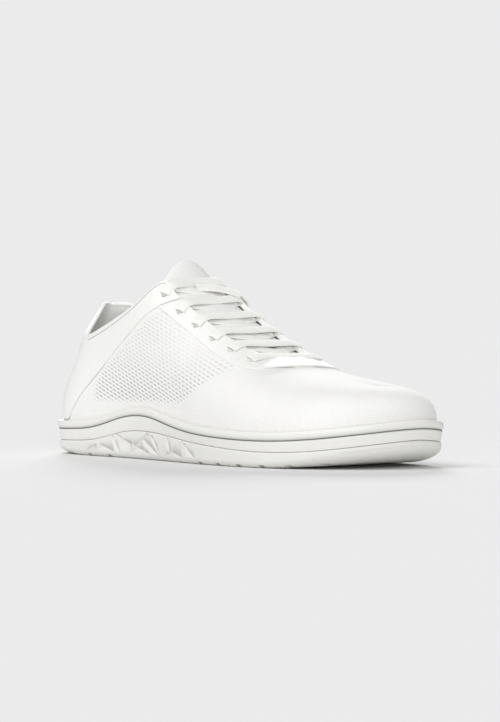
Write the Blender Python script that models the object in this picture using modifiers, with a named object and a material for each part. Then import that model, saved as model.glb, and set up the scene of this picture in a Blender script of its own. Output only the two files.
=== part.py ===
# Low lace-up barefoot shoe for the right foot, standing empty on its sole.
# Metres. X runs from heel to toe, -Y is the outer side of the foot, Z is up.

import math

import bmesh
import bpy
import numpy as np
from mathutils import Matrix, Vector

# Driving sizes of the sole
SOLE_LENGTH = 0.285
BALL_WIDTH = 0.104
RIM_HEIGHT = 0.0194
BUMP_RISE = 0.0102
STEP_HEIGHT = 0.0084
STEP_RISE = 0.0076
TOE_SPRING = 0.0068
TREAD_THICKNESS = 0.0045
TREAD_WALL = 0.0022
END_WALL = 0.0027
MIDSOLE_THICKNESS = 0.0032
RIM_WALL = 0.0034
BEAD_HEIGHT = 0.0042
GROOVE_WIDTH = 0.0012
GROOVE_DEPTH = 0.0014
BAND_RECESS = 0.0018
EDGE_ROLL = 0.0045
EDGE_ROLL_HEIGHT = 0.0038
END_ROLL = 0.0130
END_ROLL_HEIGHT = 0.0058

# Driving sizes of the upper and what lies in and on it
UPPER_WALL = 0.0018
HEEL_HEIGHT = 0.0885
COLLAR_DIP = 0.0690
THROAT_TOP = 0.1015
INSTEP_HEIGHT = 0.0785
INSOLE_THICKNESS = 0.0030
THROAT_HALF = 0.0190
THROAT_START = 0.1180
THROAT_END = 0.1920
THROAT_ROUND = 2.5
STAY_TOP_WIDTH = 0.0070
STAY_WIDTH = 0.0148
STAY_FRONT = 0.0108
STAY_CORNER = 0.0120
STAY_ROUND = 3.0
STAY_THICKNESS = 0.0008
COUNTER_THICKNESS = 0.0009
COUNTER_END = 0.1208
TONGUE_THICKNESS = 0.0032
TONGUE_HALF = 0.0310
TONGUE_TOP = 0.1030
TONGUE_CORNER = 0.0060
TONGUE_END = 0.2010
TAPE_WIDTH = 0.0120
TAPE_LENGTH = 0.0270
TAPE_THICKNESS = 0.0011
LACE_WIDTH = 0.0078
LACE_THICKNESS = 0.0013
EYELET_COUNT = 6
EYELET_RADIUS = 0.0021
EYELET_FIRST = 0.1885
EYELET_LAST = 0.1115
EYELET_INSET = 0.0035
EYELET_FLARE = 0.0042

# Clearances
GAP = 0.0003
LACE_CLEARANCE = 0.0017

# Tread pattern
BOTTOM_GROOVE_WIDTH = 0.0035
BOTTOM_GROOVE_DEPTH = 0.0015
SIDE_GROOVE_WIDTH = 0.0011
SIDE_GROOVE_DEPTH = 0.0012

# Mesh counts
SIDE_COLUMNS = 44
SKIN_ROWS = 13

# Outline of the sole: along is a share of its length, the rest are shares of the ball width
OUTLINE = (
    ("along", "outer", "inner"),
    (0.000, 0.000, 0.000),
    (0.020, -0.178, 0.170),
    (0.070, -0.292, 0.283),
    (0.160, -0.338, 0.329),
    (0.300, -0.358, 0.334),
    (0.440, -0.402, 0.362),
    (0.550, -0.456, 0.410),
    (0.660, -0.496, 0.472),
    (0.765, -0.490, 0.502),
    (0.860, -0.425, 0.487),
    (0.933, -0.296, 0.420),
    (0.982, -0.106, 0.307),
    (1.000, 0.110, 0.110),
)

# Side of the sole: rim is a share of the bump's rise, step a share of the step's rise
SIDE = (
    ("along", "rim", "step"),
    (0.000, 0.10, 0.00),
    (0.140, 0.10, 0.02),
    (0.200, 0.23, 0.16),
    (0.260, 0.56, 0.52),
    (0.310, 0.86, 0.86),
    (0.360, 1.00, 1.00),
    (0.410, 0.94, 0.97),
    (0.470, 0.65, 0.80),
    (0.540, 0.34, 0.54),
    (0.630, 0.12, 0.28),
    (0.750, 0.00, 0.04),
    (1.000, 0.00, 0.00),
)

# Ridge above the foot and middle of the throat: middle is a share of the sole's length,
# side and throat are shares of the ball width
RIDGE = (
    ("along", "middle", "side", "throat"),
    (0.00, 0.130, 0.000, 0.000),
    (0.05, 0.165, 0.000, 0.000),
    (0.15, 0.230, 0.000, 0.000),
    (0.30, 0.325, 0.010, 0.000),
    (0.42, 0.425, 0.020, -0.012),
    (0.52, 0.522, 0.020, -0.012),
    (0.60, 0.600, 0.020, 0.000),
    (0.67, 0.667, 0.023, 0.022),
    (0.75, 0.742, 0.035, 0.035),
    (0.87, 0.835, 0.060, 0.060),
    (0.95, 0.872, 0.080, 0.080),
    (1.00, 0.885, 0.090, 0.090),
)

# Height of the ridge as a share of the instep height, with along at the ridge itself
CREST = (
    ("along", "height"),
    (0.130, 1.900),
    (0.240, 1.800),
    (0.320, 1.600),
    (0.370, 1.485),
    (0.400, 1.367),
    (0.455, 1.197),
    (0.505, 1.082),
    (0.560, 0.965),
    (0.607, 0.863),
    (0.660, 0.752),
    (0.720, 0.665),
    (0.760, 0.634),
    (0.850, 0.578),
    (0.890, 0.545),
)

# How the section rises from the rim to the ridge: low powers are boxy, high ones lean in
SECTION = (
    ("along", "in_power", "up_power"),
    (0.00, 1.00, 1.00),
    (0.30, 0.85, 0.93),
    (0.40, 0.77, 0.93),
    (0.50, 0.78, 0.93),
    (0.58, 0.86, 0.92),
    (0.66, 0.68, 0.90),
    (0.74, 0.65, 0.88),
    (0.88, 0.72, 0.82),
    (1.00, 0.74, 0.78),
)

# Back of the heel: height is a share of the heel height, draw a share of the way to the ridge
HEEL_BACK = (
    ("height", "draw"),
    (0.20, 0.00),
    (0.35, 0.01),
    (0.46, 0.06),
    (0.57, 0.15),
    (0.68, 0.23),
    (0.82, 0.29),
    (1.00, 0.35),
)
HEEL_TAB_LEAN = 0.0100
HEEL_REACH = 0.40

# Collar line above its dip: shares of the rise to the heel tab, and of the rise to the throat
COLLAR = (
    ("along", "tab_outer", "tab_inner", "throat"),
    (0.000, 1.00, 1.00, 0.00),
    (0.010, 0.97, 1.00, 0.00),
    (0.028, 0.62, 0.99, 0.00),
    (0.055, 0.12, 0.93, 0.00),
    (0.085, 0.00, 0.75, 0.02),
    (0.130, 0.00, 0.45, 0.09),
    (0.240, 0.00, 0.12, 0.36),
    (0.330, 0.00, 0.02, 0.73),
    (0.370, 0.00, 0.00, 0.97),
    (0.414, 0.00, 0.00, 1.12),
)

# Lower edge of the heel panel: height runs from 0 at the rim to 1 at the throat's top
SEAM = (
    ("along", "height"),
    (0.085, -0.05),
    (0.110, 0.07),
    (0.150, 0.22),
    (0.195, 0.36),
    (0.240, 0.49),
    (0.295, 0.62),
    (0.355, 0.76),
    (0.400, 0.84),
    (0.450, 0.89),
)

# Rise of the lace and of the tongue over the throat, as shares of the throat's half width
THROAT_ARCH = (
    ("along", "lace", "tongue"),
    (0.350, 0.16, 0.80),
    (0.368, 0.13, 0.42),
    (0.385, 0.10, 0.21),
    (0.410, 0.05, 0.16),
    (0.455, 0.02, 0.16),
    (0.580, 0.02, 0.10),
    (0.640, 0.02, 0.00),
    (0.700, 0.02, 0.00),
)

# Lines of the side lugs: both ends along the sole, and their heights as shares of the step's
SIDE_LUGS = (
    ("start", "start_height", "end", "end_height"),
    (0.215, 0.62, 0.160, 0.06),
    (0.235, 0.60, 0.300, 0.12),
    (0.275, 0.93, 0.300, 0.24),
    (0.285, 0.98, 0.345, 0.50),
    (0.405, 0.95, 0.330, 0.10),
    (0.350, 0.50, 0.425, 0.14),
    (0.390, 0.72, 0.455, 0.12),
    (0.420, 0.88, 0.450, 0.30),
    (0.500, 0.42, 0.455, 0.06),
    (0.505, 0.40, 0.570, 0.10),
    (0.485, 0.94, 0.492, 0.46),
    (0.540, 0.96, 0.600, 0.12),
)


def column(table, name):
    place = table[0].index(name)
    return [row[place] for row in table[1:]]


def smooth_curve(places, values):
    # Natural cubic curve through the table's rows, held level past its ends.
    places = np.asarray(places, float)
    values = np.asarray(values, float)
    gaps = np.diff(places)
    slopes = np.diff(values) / gaps
    count = len(places)
    matrix = np.eye(count)
    target = np.zeros(count)
    for i in range(1, count - 1):
        matrix[i, i - 1 : i + 2] = gaps[i - 1], 2 * (gaps[i - 1] + gaps[i]), gaps[i]
        target[i] = 6 * (slopes[i] - slopes[i - 1])
    bends = np.linalg.solve(matrix, target)

    def read(place):
        place = min(max(place, places[0]), places[-1])
        i = min(int(np.searchsorted(places, place, side="right")) - 1, count - 2)
        gap = gaps[i]
        left = (place - places[i]) / gap
        right = 1 - left
        bend = (left**3 - left) * bends[i + 1] + (right**3 - right) * bends[i]
        return float(left * values[i + 1] + right * values[i] + bend * gap * gap / 6)

    return read


def turn(along):
    # Places bunch up at heel and toe, where the outline turns.
    return math.acos(1 - 2 * along) / math.pi


def along_of(t):
    return (1 - math.cos(math.pi * t)) / 2


def ring_curve(table, outer, inner):
    # A value all round the shoe: t is 0 at the heel, 1 at the toe and 2 at the heel again.
    along = column(table, "along")
    first = [(turn(a), v) for a, v in zip(along, column(table, outer))]
    back = [(2 - turn(a), v) for a, v in zip(along, column(table, inner))][1:-1]
    ring = first + back[::-1]
    rows = [(t - 2, v) for t, v in ring[-4:]] + ring + [(t + 2, v) for t, v in ring[:5]]
    curve = smooth_curve([t for t, _ in rows], [v for _, v in rows])
    return lambda t: curve(t % 2)


def half_curve(table, name):
    curve = smooth_curve([turn(a) for a in column(table, "along")], column(table, name))
    return lambda t: curve(1 - abs(1 - t % 2))


def plain_curve(table, name, value):
    return smooth_curve(column(table, name), column(table, value))


outline_side = ring_curve(OUTLINE, "outer", "inner")
rim_share = half_curve(SIDE, "rim")
step_share = half_curve(SIDE, "step")
ridge_middle = half_curve(RIDGE, "middle")
ridge_side = half_curve(RIDGE, "side")
throat_side = half_curve(RIDGE, "throat")
crest_share = plain_curve(CREST, "along", "height")
in_power = half_curve(SECTION, "in_power")
up_power = half_curve(SECTION, "up_power")
heel_draw = plain_curve(HEEL_BACK, "height", "draw")
tab_share = ring_curve(COLLAR, "tab_outer", "tab_inner")
collar_share = half_curve(COLLAR, "throat")
seam_share = half_curve(SEAM, "height")
lace_arch = plain_curve(THROAT_ARCH, "along", "lace")
tongue_arch = plain_curve(THROAT_ARCH, "along", "tongue")


def eased(share):
    share = min(max(share, 0.0), 1.0)
    return share * share * (3 - 2 * share)


def edge(t, inset=0.0):
    # Point of the sole's outline, moved inwards by the inset.
    step = 1e-3
    point = Vector((SOLE_LENGTH * along_of(t), BALL_WIDTH * outline_side(t)))
    if not inset:
        return point
    way = edge(t + step) - edge(t - step)
    return point + Vector((-way.y, way.x)).normalized() * inset


def middle(t):
    return Vector((SOLE_LENGTH * ridge_middle(t), BALL_WIDTH * ridge_side(t)))


def spring(x):
    # The sole is flat up to the ball and rises from there to the toe.
    start = 0.72 * SOLE_LENGTH
    return TOE_SPRING * max(0.0, (x - start) / (SOLE_LENGTH - start)) ** 2.5


def rim_height(t):
    return RIM_HEIGHT + BUMP_RISE * rim_share(t) + spring(edge(t).x)


def step_height(t):
    return STEP_HEIGHT + STEP_RISE * step_share(t) + spring(edge(t).x)


def floor_height(x):
    return TREAD_THICKNESS + GAP + MIDSOLE_THICKNESS + spring(x)


def columns_between(stops):
    # Places from heel to toe on one side, with a count of steps between each pair of stops.
    places = []
    for (start, _), (end, count) in zip(stops, stops[1:]):
        a, b = turn(start), turn(end)
        places += [a + (b - a) * i / count for i in range(count)]
    return places + [turn(stops[-1][0])]


def even_columns(count):
    return [i / count for i in range(count + 1)]


def round_trip(places):
    # The same places on the outer side and back along the inner side.
    return places + [2 - t for t in places[-2:0:-1]]


def new_object(name, points, faces):
    mesh = bpy.data.meshes.new(name)
    mesh.from_pydata([tuple(p) for p in points], [], faces)
    body = bmesh.new()
    body.from_mesh(mesh)
    bmesh.ops.remove_doubles(body, verts=body.verts, dist=1e-6)
    body.to_mesh(mesh)
    body.free()
    obj = bpy.data.objects.new(name, mesh)
    parts.objects.link(obj)
    obj.parent = origin
    for face in mesh.polygons:
        face.use_smooth = True
    return obj


def band_faces(start, other, count, closed):
    last = count if closed else count - 1
    return [
        (start + i, start + (i + 1) % count, other + (i + 1) % count, other + i)
        for i in range(last)
    ]


def sheet(name, rows, closed=False):
    # One open surface through rows of equal length.
    count = len(rows[0])
    points = [p for row in rows for p in row]
    faces = []
    for i in range(len(rows) - 1):
        faces += band_faces(i * count, (i + 1) * count, count, closed)
    return new_object(name, points, faces)


def slab(name, rings, places, bottom, top):
    # A solid through closed rings, shut below and above along the line of the middles.
    # Each end is a function of a ring's place and its share of the way in.
    shares = (0.45, 1.0)
    below = [[bottom(t, s) for t in places] for s in shares[::-1]]
    above = [[top(t, s) for t in places] for s in shares]
    rows = below + [[ring(t) for t in places] for ring in rings] + above
    return sheet(name, rows, closed=True)


def colour(obj, name, shade, roughness):
    material = bpy.data.materials.new(name)
    material.use_nodes = True
    surface = material.node_tree.nodes["Principled BSDF"]
    surface.inputs["Base Color"].default_value = (*shade, 1.0)
    surface.inputs["Roughness"].default_value = roughness
    surface.inputs["Metallic"].default_value = 0.0
    obj.data.materials.append(material)


def thicken(obj, thickness, outwards):
    wall = obj.modifiers.new("wall", "SOLIDIFY")
    wall.thickness = thickness
    wall.offset = 1.0 if outwards else -1.0
    return wall


def cut(obj, cutter_collection):
    hole = obj.modifiers.new("cut", "BOOLEAN")
    hole.operation = "DIFFERENCE"
    hole.operand_type = "COLLECTION"
    hole.collection = cutter_collection
    hole.solver = "EXACT"


def helper(obj, collection):
    for owner in obj.users_collection:
        owner.objects.unlink(obj)
    collection.objects.link(obj)
    obj.parent = origin
    obj.hide_render = True
    obj.display_type = "WIRE"


# Sole


def end_share(t):
    # 1 at the toe and the heel, 0 between them.
    share = along_of(t)
    return max(eased((share - 0.78) / 0.22), eased((0.17 - share) / 0.17))


def roll_depth(t):
    # The bottom edge is rolled more at the toe and the heel than along the sides.
    return EDGE_ROLL + (END_ROLL - EDGE_ROLL) * end_share(t)


def roll_height(t):
    return EDGE_ROLL_HEIGHT + (END_ROLL_HEIGHT - EDGE_ROLL_HEIGHT) * end_share(t)


def tread_wall(t):
    return TREAD_WALL + (END_WALL - TREAD_WALL) * end_share(t)


def outsole_ring(inset, height):
    def at(t):
        point = edge(t, inset(t))
        return Vector((*point, height(t, point)))

    return at


def towards_middle(inset, height):
    def at(t, share):
        point = edge(t, inset(t)).lerp(middle(t), share)
        return Vector((*point, height(point.x)))

    return at


def make_outsole(places):
    rings = []
    for angle in (0, 30, 60, 90):
        a = math.radians(angle)
        rings.append(
            outsole_ring(
                lambda t, a=a: BAND_RECESS * 0.75 + roll_depth(t) * (1 - math.sin(a)),
                lambda t, p, a=a: spring(p.x) + roll_height(t) * (1 - math.cos(a)),
            )
        )
    rings.append(outsole_ring(lambda t: BAND_RECESS * 0.7, lambda t, p: step_height(t)))
    rings.append(outsole_ring(tread_wall, lambda t, p: step_height(t)))
    rings.append(outsole_ring(tread_wall, lambda t, p: TREAD_THICKNESS + spring(p.x)))
    bottom = towards_middle(lambda t: BAND_RECESS * 0.75 + roll_depth(t), spring)
    top = towards_middle(tread_wall, lambda x: TREAD_THICKNESS + spring(x))
    return slab("outsole", rings, places, bottom, top)


def make_midsole(places):
    base = TREAD_THICKNESS + GAP
    inner = lambda t: tread_wall(t) + GAP
    level = lambda inset: lambda t: inset
    rim = rim_height
    heights = (
        (inner, lambda t, p: base + spring(p.x)),
        (inner, lambda t, p: step_height(t) + GAP),
        (level(BAND_RECESS), lambda t, p: step_height(t) + GAP),
        (level(BAND_RECESS * 0.5), lambda t, p: rim(t) - BEAD_HEIGHT - GROOVE_WIDTH),
        (level(GROOVE_DEPTH), lambda t, p: rim(t) - BEAD_HEIGHT - GROOVE_WIDTH / 2),
        (level(BAND_RECESS * 0.3), lambda t, p: rim(t) - BEAD_HEIGHT),
        (level(0.0), lambda t, p: rim(t) - BEAD_HEIGHT * 0.6),
        (level(BAND_RECESS * 0.4), lambda t, p: rim(t) - BEAD_HEIGHT * 0.2),
        (level(RIM_WALL * 0.6), lambda t, p: rim(t)),
        (level(RIM_WALL), lambda t, p: rim(t) - BEAD_HEIGHT * 0.15),
        (level(RIM_WALL), lambda t, p: floor_height(p.x)),
    )
    rings = [outsole_ring(inset, height) for inset, height in heights]
    bottom = towards_middle(inner, lambda x: base + spring(x))
    top = towards_middle(lambda t: RIM_WALL, floor_height)
    return slab("midsole", rings, places, bottom, top)


def make_insole(places):
    inset = RIM_WALL + GAP + UPPER_WALL + GAP
    low = lambda x: floor_height(x) + GAP
    high = lambda x: low(x) + INSOLE_THICKNESS
    rings = [
        outsole_ring(lambda t: inset, lambda t, p: low(p.x)),
        outsole_ring(lambda t: inset, lambda t, p: high(p.x)),
    ]
    bottom = towards_middle(lambda t: inset, low)
    top = towards_middle(lambda t: inset, high)
    return slab("insole", rings, places, bottom, top)


# Upper


def crest_height(x):
    return INSTEP_HEIGHT * crest_share(x / SOLE_LENGTH)


def skin(t, w, lift=0.0):
    # The upper's outer face: w is 0 at the rim, 1 at the ridge and -1 at its tucked-in lower edge.
    if lift:
        step = 2e-3
        up = min(max(w, -1 + step), 1 - 2 * step)
        along = skin(t + step, up) - skin(t - step, up)
        across = skin(t, up + step) - skin(t, up - step)
        return skin(t, w) + along.cross(across).normalized() * lift
    start = edge(t, RIM_WALL + GAP)
    rim = rim_height(t)
    low = floor_height(start.x) + GAP
    if w <= 0:
        return Vector((*start, rim + (rim - low) * w))
    end = middle(t)
    crest = crest_height(end.x)
    angle = w * math.pi / 2
    inwards = 1 - max(math.cos(angle), 0.0) ** in_power(t)
    height = rim + (crest - rim) * math.sin(angle) ** up_power(t)
    reach = 1 - eased(along_of(t) / HEEL_REACH)
    share = height / HEEL_HEIGHT
    inwards = 1 - (1 - inwards) * (1 - heel_draw(share) * reach)
    point = start.lerp(end, inwards)
    point.x += HEEL_TAB_LEAN * eased((share - 0.72) / 0.28) * reach**4
    return Vector((*point, height))


def search(test, low=0.0, high=1.0):
    # The w at which a rising test passes zero.
    for _ in range(40):
        centre = (low + high) / 2
        if test(centre) < 0:
            low = centre
        else:
            high = centre
    return (low + high) / 2


def w_at_height(t, height):
    return search(lambda w: skin(t, w).z - height)


def w_at_reach(t, distance):
    # Where the skin has come within this distance of the throat's middle line.
    line = BALL_WIDTH * throat_side(t)
    outwards = -1 if t % 2 < 1 else 1
    return search(lambda w: distance - outwards * (skin(t, w).y - line))


def collar_height(t):
    tab = (HEEL_HEIGHT - COLLAR_DIP) * tab_share(t)
    return COLLAR_DIP + tab + (THROAT_TOP - COLLAR_DIP) * collar_share(t)


def rounded_half(x, half, start, end):
    # Half the width of a slot that narrows to a round end.
    if x >= end:
        return 0.0
    share = max(0.0, (x - start) / (end - start))
    return half * (1 - share**THROAT_ROUND) ** (1 / THROAT_ROUND)


def throat_w(t):
    x = SOLE_LENGTH * along_of(t)
    half = rounded_half(x, THROAT_HALF, THROAT_END - THROAT_HALF, THROAT_END)
    return w_at_reach(t, half) if half else 1.0


def top_w(t):
    # The upper's free edge: the collar, the throat, or the ridge in front of it.
    collar = w_at_height(t, collar_height(t))
    if along_of(t) < 0.33:
        return collar
    opening = throat_w(t)
    return min(opening, collar) if opening < 1 else 1.0


def throat_places():
    start = THROAT_START / SOLE_LENGTH
    bend = (THROAT_END - THROAT_HALF) / SOLE_LENGTH
    end = THROAT_END / SOLE_LENGTH
    places = columns_between(((0, 0), (0.085, 7), (0.25, 6), (start, 5), (bend, 6)))
    for part_open in (0.85, 0.7, 0.5, 0.25):
        share = (1 - part_open**THROAT_ROUND) ** (1 / THROAT_ROUND)
        places.append(turn(bend + (end - bend) * share))
    return places + columns_between(((end, 0), (0.88, 6), (1, 9)))


def make_upper():
    places = round_trip(throat_places())
    tops = [top_w(t) for t in places]
    rows = [[skin(t, -1) for t in places], [skin(t, -0.4) for t in places]]
    for i in range(SKIN_ROWS + 1):
        share = i / SKIN_ROWS
        rows.append([skin(t, w * share) for t, w in zip(places, tops)])
    obj = sheet("upper", rows, closed=True)
    thicken(obj, UPPER_WALL, outwards=False)
    return obj


def patch(name, places, low, high, rows, lift, thickness):
    # A piece cut from the upper's own skin between two lines, lifted clear of it.
    lines = []
    for i in range(rows + 1):
        share = i / rows
        lines.append([skin(t, low(t) + (high(t) - low(t)) * share, lift) for t in places])
    obj = sheet(name, lines)
    thicken(obj, thickness, outwards=True)
    return obj


def seam_height(t):
    return RIM_HEIGHT + (THROAT_TOP - RIM_HEIGHT) * seam_share(t)


def make_counter():
    end = turn(COUNTER_END / SOLE_LENGTH)
    side = [t for t in throat_places() if t < end - 0.004] + [end]
    places = [-t for t in side[:0:-1]] + side
    low = lambda t: w_at_height(t, max(rim_height(t) + 2 * GAP, seam_height(t)))
    high = lambda t: top_w(t) - 0.004
    return patch("heel_counter", places, low, high, 9, 2 * GAP, COUNTER_THICKNESS)


def over(x, y, lift):
    # A point above the closed skin at this place in plan.
    t = turn(x / SOLE_LENGTH)
    t = t if y < 0 else 2 - t
    return skin(t, w_at_reach(t, abs(y)), lift)


def span(x, y, lift, arch):
    # As above, but nearly straight across the throat, with a rise in its middle.
    if abs(y) >= THROAT_HALF:
        return over(x, y, lift)
    share = y / THROAT_HALF
    near = over(x, -THROAT_HALF, lift)
    far = over(x, THROAT_HALF, lift)
    rise = Vector((0, 0, THROAT_HALF * arch(x / SOLE_LENGTH) * (1 - share * share)))
    return near.lerp(far, (share + 1) / 2) + rise


def seam_x(side, reach):
    # Where the heel panel's lower edge crosses the skin at this distance from the ridge.
    def past(share):
        x = THROAT_START + (THROAT_END - THROAT_START) * (share - 0.5)
        return seam_height(turn(x / SOLE_LENGTH)) - over(x, side * reach, 0.0).z

    return THROAT_START + (THROAT_END - THROAT_START) * (search(past) - 0.5)


def horseshoe(share):
    # A line of the eyestay in plan, from one leg round the front to the other leg:
    # share 0 is the throat's edge and 1 the outer edge.
    top = THROAT_HALF + GAP + STAY_TOP_WIDTH * share
    half = THROAT_HALF + GAP + STAY_WIDTH * share
    end = THROAT_END + GAP + STAY_FRONT * share
    corner = THROAT_END - THROAT_HALF + STAY_CORNER * share
    power = 2 / (THROAT_ROUND + (STAY_ROUND - THROAT_ROUND) * share)
    outer_leg, inner_leg = [], []
    for side, leg in ((-1, outer_leg), (1, inner_leg)):
        start = seam_x(side, top) + 3 * GAP
        for i in range(7):
            x = start + (corner - start) * i / 7
            leg.append((x, side * (top + (half - top) * (i / 7) ** 1.8)))
    front = []
    for i in range(17):
        angle = math.radians(90 * (i / 8 - 1))
        ahead = max(math.cos(angle), 0.0) ** power
        across = math.copysign(abs(math.sin(angle)) ** power, angle)
        front.append((corner + (end - corner) * ahead, half * across))
    return outer_leg + front + inner_leg[::-1]


def make_eyestay():
    lines = [horseshoe(1 - i / 4) for i in range(5)]
    obj = sheet("eyestay", [[over(x, y, GAP) for x, y in line] for line in lines])
    thicken(obj, STAY_THICKNESS, outwards=True)
    return obj


def make_tongue():
    stops = ((TONGUE_TOP / SOLE_LENGTH, 0), (0.5, 8), (TONGUE_END / SOLE_LENGTH, 8))
    rows = []
    for t in columns_between(stops):
        x = SOLE_LENGTH * along_of(t)
        corner = min(max((x - TONGUE_TOP) / TONGUE_CORNER, 0.0), 1.0)
        half = TONGUE_HALF * (0.90 + 0.10 * math.sqrt(1 - (1 - corner) ** 2))
        line = [half * (i / 6 - 1) for i in range(13)]
        rows.append([span(x, y, -UPPER_WALL - 3 * GAP, tongue_arch) for y in line])
    obj = sheet("tongue", rows[::-1])
    thicken(obj, TONGUE_THICKNESS, outwards=False)
    return obj


def make_tape():
    reach = search(lambda t: abs(skin(t, 0.3).y) - TAPE_WIDTH / 2, 0.0, 0.25)
    places = [reach * i / 3 for i in range(-3, 4)]
    top = HEEL_HEIGHT - 0.002
    low = lambda t: w_at_height(t, top - TAPE_LENGTH)
    high = lambda t: w_at_height(t, top - 0.004)
    lift = GAP + COUNTER_THICKNESS + 3 * GAP
    return patch("heel_tape", places, low, high, 5, lift, TAPE_THICKNESS)


# Eyelets and lace


def eyelet_x(i):
    return EYELET_FIRST + (EYELET_LAST - EYELET_FIRST) * i / (EYELET_COUNT - 1)


def eyelet_place(i, side):
    # The outer row runs away from the throat's edge towards the toe.
    inset = EYELET_INSET
    if side < 0:
        inset += EYELET_FLARE * (1 - i / (EYELET_COUNT - 1))
    return eyelet_x(i), side * (THROAT_HALF + inset)


def make_eyelet_cutters():
    for i in range(EYELET_COUNT):
        for side in (-1, 1):
            point = over(*eyelet_place(i, side), 0.0)
            normal = over(*eyelet_place(i, side), 0.01) - point
            body = bmesh.new()
            bmesh.ops.create_cone(
                body,
                cap_ends=True,
                segments=10,
                radius1=EYELET_RADIUS,
                radius2=EYELET_RADIUS,
                depth=0.012,
            )
            mesh = bpy.data.meshes.new("eyelet_cutter")
            body.to_mesh(mesh)
            body.free()
            obj = bpy.data.objects.new("eyelet_cutter", mesh)
            turned = normal.to_track_quat("Z", "X").to_matrix().to_4x4()
            obj.matrix_world = Matrix.Translation(point) @ turned
            helper(obj, eyelet_cutters)


def lace_band(name, start, end, lift):
    # A flat band over the tongue from one eyelet to another.
    steps = 12
    height = lift + LACE_THICKNESS / 2
    points = []
    for i in range(steps + 1):
        x = start[0] + (end[0] - start[0]) * i / steps
        y = start[1] + (end[1] - start[1]) * i / steps
        centre = span(x, y, height, lace_arch)
        along = span(x + 1e-3, y, height, lace_arch) - centre
        across = span(x, y + 1e-3, height, lace_arch) - centre
        normal = along.cross(across).normalized()
        way = along * (end[0] - start[0]) + across * (end[1] - start[1])
        side = way.cross(normal).normalized() * LACE_WIDTH / 2
        up = normal * LACE_THICKNESS / 2
        points += [centre + side - up, centre - side - up, centre - side + up]
        points.append(centre + side + up)
    faces = [(3, 2, 1, 0), tuple(len(points) - 4 + k for k in range(4))]
    for i in range(steps):
        faces += band_faces(i * 4, (i + 1) * 4, 4, True)
    return new_object(name, points, faces)


def connected(first):
    # All the points that edges join to this one.
    found = {first}
    front = [first]
    while front:
        point = front.pop()
        for line in point.link_edges:
            other = line.other_vert(point)
            if other not in found:
                found.add(other)
                front.append(other)
    return found


def keep_largest(obj):
    # Takes the modifiers' result and drops the small pockets closed in between the bands.
    graph = bpy.context.evaluated_depsgraph_get()
    mesh = bpy.data.meshes.new_from_object(obj.evaluated_get(graph))
    obj.modifiers.clear()
    obj.data = mesh
    body = bmesh.new()
    body.from_mesh(mesh)
    left = set(body.verts)
    pieces = []
    while left:
        pieces.append(connected(next(iter(left))))
        left -= pieces[-1]
    largest = max(pieces, key=len)
    spare = [point for point in body.verts if point not in largest]
    bmesh.ops.delete(body, geom=spare, context="VERTS")
    body.to_mesh(mesh)
    body.free()


def make_lace():
    # The diagonals lie lowest, each crossing the other, and the straight bars lie on them.
    rest = GAP + STAY_THICKNESS + LACE_CLEARANCE
    raised = rest + LACE_THICKNESS * 0.6
    lace = lace_band("lace", eyelet_place(0, -1), eyelet_place(0, 1), raised)
    for i in range(EYELET_COUNT - 1):
        for side in (-1, 1):
            start, end = eyelet_place(i, side), eyelet_place(i + 1, -side)
            lift = rest + LACE_THICKNESS * (0.0 if side < 0 else 0.3)
            helper(lace_band("lace_part", start, end, lift), lace_parts)
        start, end = eyelet_place(i + 1, -1), eyelet_place(i + 1, 1)
        helper(lace_band("lace_part", start, end, raised), lace_parts)
    join = lace.modifiers.new("join", "BOOLEAN")
    join.operation = "UNION"
    join.operand_type = "COLLECTION"
    join.collection = lace_parts
    join.solver = "EXACT"
    keep_largest(lace)
    return lace


# Tread cutters


def box_cutter(centre, size, turned, collection):
    body = bmesh.new()
    bmesh.ops.create_cube(body, size=1.0)
    bmesh.ops.scale(body, vec=size, verts=body.verts)
    mesh = bpy.data.meshes.new("groove_cutter")
    body.to_mesh(mesh)
    body.free()
    obj = bpy.data.objects.new("groove_cutter", mesh)
    obj.matrix_world = Matrix.Translation(centre) @ turned
    helper(obj, collection)


def make_bottom_cutters():
    for share in (0.10, 0.17, 0.24, 0.58, 0.64, 0.70, 0.76, 0.82, 0.88):
        x = share * SOLE_LENGTH
        size = Vector((BOTTOM_GROOVE_WIDTH, BALL_WIDTH * 1.3, BOTTOM_GROOVE_DEPTH * 2))
        lean = Matrix.Rotation(math.radians(8), 4, "Z")
        box_cutter(Vector((x, 0, spring(x))), size, lean, groove_cutters)


def side_point(t, share):
    point = edge(t, BAND_RECESS / 2)
    return Vector((*point, step_height(t) * share))


def make_side_cutters():
    for start, start_height, end, end_height in SIDE_LUGS[1:]:
        for side in (0, 1):
            a = turn(start) if side == 0 else 2 - turn(start)
            b = turn(end) if side == 0 else 2 - turn(end)
            first = side_point(a, start_height)
            last = side_point(b, end_height)
            way = last - first
            out = Vector((0, -1 if side == 0 else 1, 0))
            frame = Matrix((way.normalized(), out, way.normalized().cross(out))).transposed()
            size = Vector((way.length, SIDE_GROOVE_DEPTH * 2, SIDE_GROOVE_WIDTH))
            box_cutter((first + last) / 2, size, frame.to_4x4(), groove_cutters)


def new_collection(name):
    made = bpy.data.collections.new(name)
    bpy.context.scene.collection.children.link(made)
    return made


for old in list(bpy.data.objects):
    bpy.data.objects.remove(old, do_unlink=True)

parts = new_collection("barefoot_shoe")
eyelet_cutters = new_collection("eyelet_cutters")
groove_cutters = new_collection("groove_cutters")
lace_parts = new_collection("lace_parts")

# The outline's own box is centred on the origin.
sides = [BALL_WIDTH * outline_side(i / 200) for i in range(400)]
origin = bpy.data.objects.new("shoe_origin", None)
origin.location = (-SOLE_LENGTH / 2, -(min(sides) + max(sides)) / 2, 0.0)
parts.objects.link(origin)
bpy.context.view_layer.update()

RUBBER = (0.78, 0.78, 0.75)
KNIT = (0.86, 0.86, 0.84)
PANEL = (0.84, 0.84, 0.82)

ring_places = round_trip(even_columns(SIDE_COLUMNS))

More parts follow.
